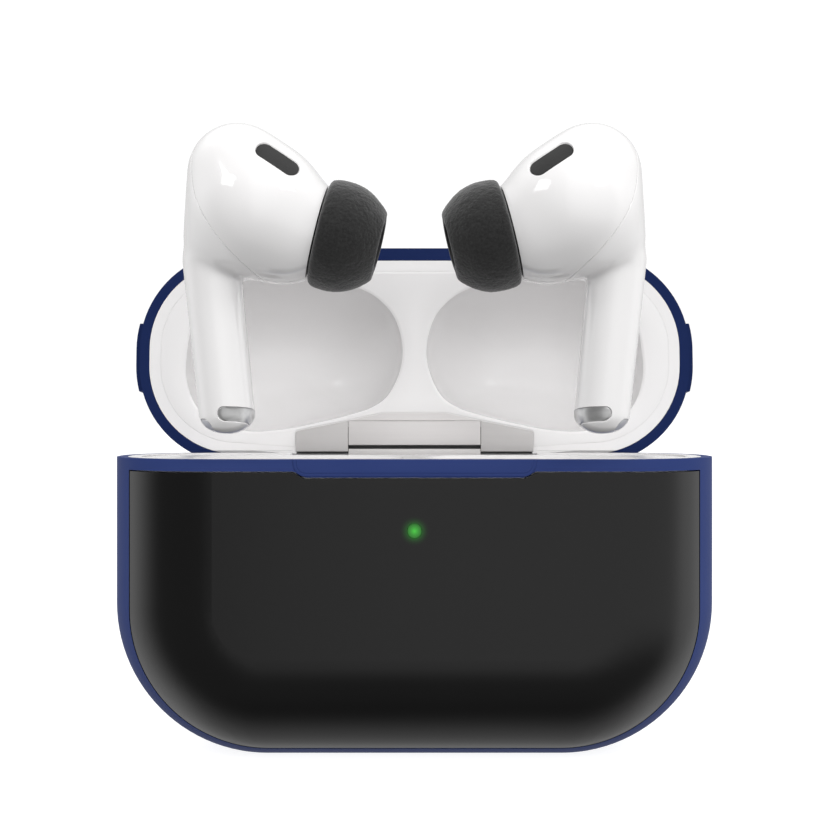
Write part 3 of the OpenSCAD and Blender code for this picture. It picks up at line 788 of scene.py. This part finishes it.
def foam_tip(side):
    """Open-cell foam cushion: a domed sleeve with a slightly uneven skin."""
    tag = "right" if side > 0 else "left"
    outline = smooth_curve(FOAM_PROFILE, FOAM_DENSITY)
    a, b = tip_frame()
    turn = np.arange(FOAM_AROUND) * 2 * math.pi / FOAM_AROUND
    wheel = np.outer(np.cos(turn), a) + np.outer(np.sin(turn), b)
    points = []
    for k, (r, h) in enumerate(outline):
        fade = min(1.0, k / FOAM_FADE, (len(outline) - 1 - k) / FOAM_FADE)
        for d in wheel:
            base = TIP_BASE + TIP_AXIS * h + d * r
            # shifted so that the two cushions differ
            seed = Vector(base + np.array([0, 0, 40.0 * side]))
            bulge = sum(height * noise.noise(seed * often) for height, often in FOAM_LAYERS)
            points.append(base + (d * 0.9 + TIP_AXIS * 0.3 * (h - 3) / 3) * bulge * fade)
    faces = ring_faces(len(outline), FOAM_AROUND)
    first = len(points) - FOAM_AROUND
    for i in range(FOAM_AROUND):
        j = (i + 1) % FOAM_AROUND
        faces.append((first + i, first + j, j, i))
    if side > 0:
        faces = [f[::-1] for f in faces]
    finish_mesh(
        f"{tag}_foam_cushion", place_bud(points, side), faces, f"{tag}_bud", FOAM,
        [f"{tag}_foam_tip"], 60,
    )


# ---------- lid interior ----------

# Outline of the right-hand recess seen from below: across, and back from the middle of the lid.
RECESS_KNOTS = (
    (1.35, -0.7), (1.9, -3.6), (3.2, -5.8), (5.6, -7.6), (9.6, -8.8), (14.3, -9.2), (19.2, -8.8),
    (23.2, -7.0), (25.3, -3.9), (26.0, -0.4), (26.0, 2.6), (24.9, 5.6), (22.6, 7.6), (19.2, 8.5),
    (15.2, 8.35), (10.8, 7.5), (7.4, 6.65), (5.0, 5.85), (3.1, 4.5), (1.8, 2.0),
)
# Points a millimetre along the outline.
RECESS_DENSITY = 4
RECESS_CENTRE = (14.6, -0.1)
RECESS_DEPTH = 11.9
# How far the tray's web lies above the lid's rim, and its thickness.
LINER_LOW = 0.06
LINER_T = 0.95
# Width of the lid's rim that is left round the web.
LINER_INSET = 2.45
# Half of the flat stretch in the middle of the case's depth, between its rounded long edges.
HALF_FLAT = 0.95
CORNER_STEPS = 24


def plan_ring(inset):
    """The case's outline seen from above, moved inwards by inset, as points round it."""
    low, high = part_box("cover_base_frame")
    half_w, half_d = (high.x - low.x) / 2 / MM, (high.y - low.y) / 2 / MM
    r = half_d - HALF_FLAT - inset
    cx = half_w - (half_d - HALF_FLAT)
    out = []
    for sx, sy, start in ((1, 1, 0), (-1, 1, 90), (-1, -1, 180), (1, -1, 270)):
        for k in range(CORNER_STEPS + 1):
            a = math.radians(start + 90 * k / CORNER_STEPS)
            out.append((sx * cx + r * math.cos(a), sy * HALF_FLAT + r * math.sin(a)))
    return np.array(out)


def bracket_outline(grow):
    """The front edge of the lid's hinge bracket from left to right, moved outwards by grow."""
    right = [(13.5, 8.75), (13.2, 8.4), (7.5, 7.28), (3.6, 6.4)]
    right = [(x + grow, y - grow) for x, y in right]
    return [(-x, y) for x, y in right] + right[::-1]


def web_border():
    """Outline of the tray's web: the case's outline, cut back at the hinge bracket."""
    outer = plan_ring(LINER_INSET)
    # starts at the left back corner and runs round the front
    outer = np.roll(outer, -(CORNER_STEPS + 1), axis=0)
    end_x, end_y = 13.56, 10.3
    back = [(end_x, end_y)] + bracket_outline(0.06)[::-1] + [(-end_x, end_y)]
    return anticlockwise(np.concatenate([outer, back]))


class RingMesh:
    """A mesh gathered from level outlines and the walls between them."""

    def __init__(self):
        self.points, self.faces = [], []

    def ring(self, outline, z):
        """Adds an outline at height z and gives its point numbers."""
        first = len(self.points)
        self.points += [(x, y, z) for x, y in outline]
        return list(range(first, len(self.points)))

    def stitch(self, rings, flip=False):
        """Adds the walls between consecutive outlines of one length."""
        for a, b in zip(rings[:-1], rings[1:]):
            for i in range(len(a)):
                j = (i + 1) % len(a)
                quad = (a[i], a[j], b[j], b[i])
                self.faces.append(quad[::-1] if flip else quad)


def recess_height(share):
    """Depth of a recess at a share of the way from its middle to its edge."""
    return RECESS_DEPTH * (1 - share ** 2.9) ** 0.62


def add_recess(tray, shape, centre, low_z):
    """Adds one recess, inside and outside, and gives the outlines where it meets the web's faces."""
    inside = [
        tray.ring(grow_ring(shape, out), low_z + up) for out, up in ((0.30, 0.0), (0.14, 0.04), (0.0, 0.16))
    ]
    for share in np.concatenate([np.linspace(0.985, 0.86, 9), np.linspace(0.83, 0.06, 22)]):
        height = max(0.3, recess_height(share))
        inside.append(tray.ring(centre + (shape - centre) * share, low_z + height))
    tray.stitch(inside, True)
    tray.faces.append(tuple(inside[-1][::-1]))
    outside = [tray.ring(grow_ring(shape, 0.85), low_z + LINER_T)]
    grown = grow_ring(shape, 0.75)
    for share in np.concatenate([np.linspace(0.985, 0.86, 5), np.linspace(0.83, 0.06, 14)]):
        height = max(LINER_T + 0.02, recess_height(share) + 0.75)
        outside.append(tray.ring(centre + (grown - centre) * share, low_z + height))
    tray.stitch(outside)
    tray.faces.append(tuple(outside[-1]))
    return inside[0], outside[0]


def liner():
    """White inner tray of the lid: a flat web with two egg-shaped recesses."""
    border = web_border()
    low_z = SEAM_Z + LINER_LOW
    tray = RingMesh()
    # the web's edge as steps outwards and up, with a softened lip
    edge_steps = ((-0.08, 0.0), (0.0, 0.02), (0.02, 0.08), (0.80, 0.08), (0.80, LINER_T))
    edge = [tray.ring(grow_ring(border, out), low_z + up) for out, up in edge_steps]
    tray.stitch(edge)
    below, above = [edge[0]], [edge[-1]]
    right = anticlockwise(smooth_curve(RECESS_KNOTS, RECESS_DENSITY, closed=True))
    for sign, shape in ((1, right), (-1, right[::-1] * (-1, 1))):
        mouth, back = add_recess(tray, shape, np.array(RECESS_CENTRE) * (sign, 1), low_z)
        below.append(mouth)
        above.append(back)
    bm = to_bmesh(open_lid(np.array(tray.points)), tray.faces)
    verts = list(bm.verts)
    for loops in (below, above):
        edges = []
        for loop in loops:
            for k, after in zip(loop, loop[1:] + loop[:1]):
                pair = verts[k], verts[after]
                edges.append(bm.edges.get(pair) or bm.edges.new(pair))
        bmesh.ops.triangle_fill(bm, use_beauty=True, use_dissolve=False, edges=edges)
    bmesh.ops.recalc_face_normals(bm, faces=bm.faces)
    points, faces = from_bmesh(bm)
    bm.free()
    finish_mesh("lid_tray", points, faces, "lid", CASE_WHITE, ["lid_liner"], 40)


# ---------- hinge and tab plates ----------

def plate(outline, thick, soften):
    """Flat plate with a softened front edge: its outline, then depth from the front face."""
    ring = anticlockwise(np.array(outline, float))
    levels = [(0.0, thick), (0.0, soften), (-0.3 * soften, 0.3 * soften), (-soften, 0.0)]
    rings = [np.column_stack([inset_ring(ring, -g), np.full(len(ring), w)]) for g, w in levels]
    return capped_rings(rings)


def inset_ring(ring, amount):
    """Polygon moved inwards by amount with its corners kept sharp."""
    before, after = ring - np.roll(ring, 1, 0), np.roll(ring, -1, 0) - ring
    before /= np.linalg.norm(before, axis=1)[:, None]
    after /= np.linalg.norm(after, axis=1)[:, None]
    n1 = np.stack([-before[:, 1], before[:, 0]], 1)
    n2 = np.stack([-after[:, 1], after[:, 0]], 1)
    between = n1 + n2
    return ring + between * (amount * 2 / (between ** 2).sum(1))[:, None]


def mirrored(right):
    """Outline completed from its right half, which starts and ends away from the middle."""
    return right + [(-x, v) for x, v in right[::-1]]


# The hinge plates, in millimetres across and forwards from the hinge line: the wing's outer and
# sloping edges, and half the width of the plates between the wings.
HINGE_SLOPE = [(13.48, 0.12), (13.48, 2.27), (13.24, 2.47), (7.55, 3.60)]
PLATE_X = 7.50
PLATE_T = 0.5
# Height of each plate's front from the lid's rim, with the lid closed: a plate below it stands proud.
WING_FRONT = -0.12
TOP_FRONT = -0.08
LEAF_FRONT = -0.11
BACKING_FRONT = 0.45
# The leaf on the base: its reach below and above the seam, its place in front of the axis, its depth.
BASE_LEAF_LOW = 0.5
BASE_LEAF_HIGH = 0.42
BASE_LEAF_FRONT = 0.17
BASE_LEAF_T = 0.6
ROD_R = 0.11


def lid_plate(name, outline, front_z, thick, soften, mat, stands_for=()):
    """Plate lying in the lid's rim plane: outline across, and forwards from the hinge line."""
    points, faces = plate(outline, thick, soften)
    closed = np.column_stack([points[:, 0], HINGE_Y - points[:, 1], SEAM_Z + front_z + points[:, 2]])
    finish_mesh(name, open_lid(closed), [f[::-1] for f in faces], "lid", mat, stands_for, 25)


def hinge_plates():
    """Satin plates of the hinge: wings, sloped top and centre leaf on the lid, one leaf on the base."""
    wing = HINGE_SLOPE + [(7.55, 0.12)]
    left_wing = [(-x, v) for x, v in wing]
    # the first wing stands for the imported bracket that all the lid's plates make up
    bracket = ["hinge_bracket_lid"]
    lid_plate("lid_hinge_wing_right", wing, WING_FRONT, PLATE_T, 0.05, HINGE_METAL, bracket)
    lid_plate("lid_hinge_wing_left", left_wing, WING_FRONT, PLATE_T, 0.05, HINGE_METAL, ())
    top = mirrored([(7.50, 3.62), (3.54, 4.50)])
    lid_plate("lid_hinge_top", top, TOP_FRONT, PLATE_T, 0.04, HINGE_LIGHT, ())
    leaf = mirrored([(PLATE_X, 0.86), (PLATE_X, 3.58)])
    lid_plate("lid_hinge_leaf", leaf, LEAF_FRONT, PLATE_T, 0.05, HINGE_LIGHT, ())
    backing = mirrored([(13.3, 0.25), (13.3, 2.2), (7.5, 3.4), (3.5, 4.3)])
    lid_plate("lid_hinge_back", backing, BACKING_FRONT, 0.3, 0.02, DARK)
    hinge_rod()
    base_leaf = mirrored([(PLATE_X, SEAM_Z - BASE_LEAF_LOW), (PLATE_X, SEAM_Z + BASE_LEAF_HIGH)])
    points, faces = plate(base_leaf, BASE_LEAF_T, 0.10)
    upright = np.column_stack([points[:, 0], HINGE_Y - BASE_LEAF_FRONT + points[:, 2], points[:, 1]])
    finish_mesh(
        "base_hinge_leaf", upright, faces, "case_base", HINGE_LIGHT, ["hinge_bracket_base"],
        25,
    )


def hinge_rod():
    """Slim dark rod on the hinge's axis."""
    spokes = [(ROD_R * math.cos(a), ROD_R * math.sin(a)) for a in np.radians(np.arange(0, 360, 15))]
    ends = (-13.3, -13.2, 0.0, 13.2, 13.3)
    points, faces = capped_rings([np.array([(x, HINGE_Y + y, HINGE_Z + z) for y, z in spokes]) for x in ends])
    finish_mesh("hinge_rod", points, faces, "case_base", DARK, ["hinge_pin"])


# The tab on the cover's front lip, in millimetres: half width, drop below the seam, radius of its
# lower corners, how far it stands out, and how far its flat top keeps below the seam.
TAB_X = 12.08
TAB_LOW = 1.72
TAB_CORNER = 1.3
TAB_RAISED = 0.14
TAB_TOP_GAP = 0.02


def tab_plate():
    """Raised pull tab on the cover's front lip, with a fine step just inside its edge."""
    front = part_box("cover_base_frame")[0].y / MM
    low = SEAM_Z - TAB_LOW
    corner = [
        (TAB_X - TAB_CORNER + TAB_CORNER * math.cos(a), low + TAB_CORNER - TAB_CORNER * math.sin(a))
        for a in np.radians(np.linspace(0, 90, 14))
    ]
    top = SEAM_Z - TAB_TOP_GAP
    ring = anticlockwise(np.array(mirrored([(TAB_X, top)] + corner)[::-1]))
    # steps inwards and outwards from the lip: edge, rounding, a fine step, and the raised face
    face = -TAB_RAISED
    steps = (
        (-0.05, 0.25), (0.0, 0.0), (0.04, -0.06), (0.14, face + 0.04), (0.34, face + 0.03),
        (0.40, face - 0.02), (0.46, face - 0.03),
    )
    rings = []
    for inset, y in steps:
        flat = inset_ring(ring, inset)
        flat[ring[:, 1] > SEAM_Z - 0.1, 1] = top
        rings.append(np.column_stack([flat[:, 0], np.full(len(flat), front + y), flat[:, 1]]))
    points, faces = capped_rings(rings)
    bm = to_bmesh(points, faces)
    bmesh.ops.recalc_face_normals(bm, faces=bm.faces)
    points, faces = from_bmesh(bm)
    bm.free()
    finish_mesh("cover_base_tab", points, faces, "cover_base", NAVY, (), 30)


# Width of the rounded edges on the moulded parts that show, in millimetres.
EDGE_WIDTHS = {
    "cover_base_frame": 0.12, "cover_lid_frame": 0.12, "base_shell": 0.10, "setup_button": 0.10,
    "lid_shell": 0.18,
}
# Edges sharper than this are rounded, in degrees.
EDGE_ANGLE = 38


def soften_edges():
    """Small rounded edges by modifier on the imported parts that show."""
    for name, width in EDGE_WIDTHS.items():
        bevel = NODES[name].modifiers.new("edge", "BEVEL")
        bevel.width = width * MM
        bevel.segments = 2
        bevel.limit_method = "ANGLE"
        bevel.angle_limit = math.radians(EDGE_ANGLE)
        bevel.use_clamp_overlap = True
        bevel.harden_normals = True
    # the rounded rim of the lid shell is dark, for the shadow between it and the cover
    NODES["lid_shell"].data.materials.append(DARK)
    NODES["lid_shell"].modifiers["edge"].material = 1


# ---------- stage ----------

def floor():
    """Pale floor seen by the camera only, so that it neither lights the object nor shines in it."""
    bm = bmesh.new()
    bmesh.ops.create_grid(bm, x_segments=8, y_segments=8, size=3.0)
    mesh = bpy.data.meshes.new("floor")
    bm.to_mesh(mesh)
    bm.free()
    obj = bpy.data.objects.new("floor", mesh)
    obj.location.z = -0.00002
    bpy.context.scene.collection.objects.link(obj)
    mat, tree, bsdf = new_material("pale_floor")
    tint(tree, bsdf, noise_at(tree, 3.0), (0.30, 0.30, 0.30), (0.31, 0.31, 0.31))
    bsdf.inputs["Roughness"].default_value = 0.8
    bsdf.inputs["Specular IOR Level"].default_value = 0.1
    bsdf.inputs["Emission Color"].default_value = (1, 1, 1, 1)
    bsdf.inputs["Emission Strength"].default_value = 0.9
    obj.visible_glossy = False
    obj.visible_diffuse = False
    mesh.materials.append(mat)


# Brightness of the background that the camera sees.
SEEN_BACKGROUND = 1.05


def studio():
    """A soft room for light and reflections, and plain white where the camera sees past the object.

    Its brightness is a sum of smooth steps in the direction looked along: bright behind the object,
    less so straight behind, gentle in front on the right, and a little more from above.
    """
    world = bpy.data.worlds.new("studio")
    bpy.context.scene.world = world
    world.use_nodes = True
    tree = world.node_tree
    back = tree.nodes["Background"]
    back.inputs["Color"].default_value = (1, 1, 1, 1)
    where = tree.nodes.new("ShaderNodeTexCoord")
    split = tree.nodes.new("ShaderNodeSeparateXYZ")
    tree.links.new(where.outputs["Generated"], split.inputs[0])

    def ease(axis, start, end, low, high):
        """Smooth step along an axis of the direction, from low at start to high at end."""
        made = node(tree, "ShaderNodeMapRange", interpolation_type="SMOOTHSTEP")
        for key, value in (("From Min", start), ("From Max", end), ("To Min", low), ("To Max", high)):
            made.inputs[key].default_value = value
        tree.links.new(split.outputs[axis], made.inputs["Value"])
        return made.outputs["Result"]

    def combine(operation, first, *rest):
        for other in rest:
            made = node(tree, "ShaderNodeMath", operation=operation)
            tree.links.new(first, made.inputs[0])
            tree.links.new(other, made.inputs[1])
            first = made.outputs[0]
        return first

    behind = combine("MULTIPLY", ease("Y", -0.45, 0.22, 0.15, 1.10), ease("Z", -0.99, -0.70, 0.50, 1.0))
    straight_behind = ease("Y", 0.30, 0.85, 0.0, -0.34)
    front = combine(
        "MULTIPLY", ease("Y", 0.15, -0.15, 0.0, 0.50), ease("X", -0.26, -0.03, 0.0, 1.0),
        ease("Z", -0.55, -0.18, 0.0, 1.0),
    )
    top = ease("Z", 0.45, 0.85, 0.0, 0.25)
    level = combine("ADD", behind, straight_behind, front, top)
    camera_ray = tree.nodes.new("ShaderNodeLightPath")
    choose = tree.nodes.new("ShaderNodeMix")
    choose.data_type = "FLOAT"
    choose.inputs[3].default_value = SEEN_BACKGROUND
    tree.links.new(camera_ray.outputs["Is Camera Ray"], choose.inputs[0])
    tree.links.new(level, choose.inputs[2])
    tree.links.new(choose.outputs[0], back.inputs["Strength"])


# Lights: place, point aimed at, width and height, power in watts, and whether reflections show it.
LIGHTS = {
    "fill": ((0, -0.60, 0.26), (0, 0, 0.03), (0.7, 0.5), 2.95, False),
    "box_left": ((-0.34, -0.26, 0.36), (0, 0, 0.05), (0.17, 0.13), 0.30, True),
    "box_right": ((0.34, -0.26, 0.36), (0, 0, 0.05), (0.17, 0.13), 0.30, True),
}


def soft_light(name, place, aim, size, power, shines):
    """Large rectangular light."""
    data = bpy.data.lights.new(name, "AREA")
    data.shape = "RECTANGLE"
    data.size, data.size_y = size
    data.energy = power
    obj = bpy.data.objects.new(name, data)
    obj.location = place
    obj.rotation_mode = "QUATERNION"
    obj.rotation_quaternion = (Vector(aim) - Vector(place)).to_track_quat("-Z", "Y")
    obj.visible_glossy = shines
    bpy.context.scene.collection.objects.link(obj)


# Camera: place in metres, focal length in millimetres, and shift of the picture as a share of its size.
CAMERA_PLACE = (0, -0.172, 0.0364)
CAMERA_LENS = 70.5
CAMERA_SHIFT = (-0.00365, -0.0079)


def camera():
    """Level camera straight in front, with its picture shifted to frame the object."""
    data = bpy.data.cameras.new("camera")
    data.lens = CAMERA_LENS
    data.sensor_width = 36.0
    data.shift_x, data.shift_y = CAMERA_SHIFT
    data.clip_start, data.clip_end = 0.01, 20
    obj = bpy.data.objects.new("camera", data)
    obj.location = CAMERA_PLACE
    obj.rotation_euler = (math.radians(90), 0, 0)
    bpy.context.scene.collection.objects.link(obj)
    bpy.context.scene.camera = obj


# The box that the bud is meshed in, and the spacing of its points, in millimetres.
BUD_LOW, BUD_HIGH, BUD_STEP = (6.5, -9.0, -1.0), (24.5, 7.0, 32.0), 0.25

dress_cad_nodes()
bud_shape = implicit_mesh(bud_field, BUD_LOW, BUD_HIGH, BUD_STEP)
for bud_side in (1, -1):
    bud_shells(bud_side, bud_shape)
    foam_tip(bud_side)
liner()
hinge_plates()
tab_plate()
soften_edges()
floor()
studio()
for light_name, values in LIGHTS.items():
    soft_light(light_name, *values)
camera()
bpy.context.scene.view_settings.view_transform = "Standard"
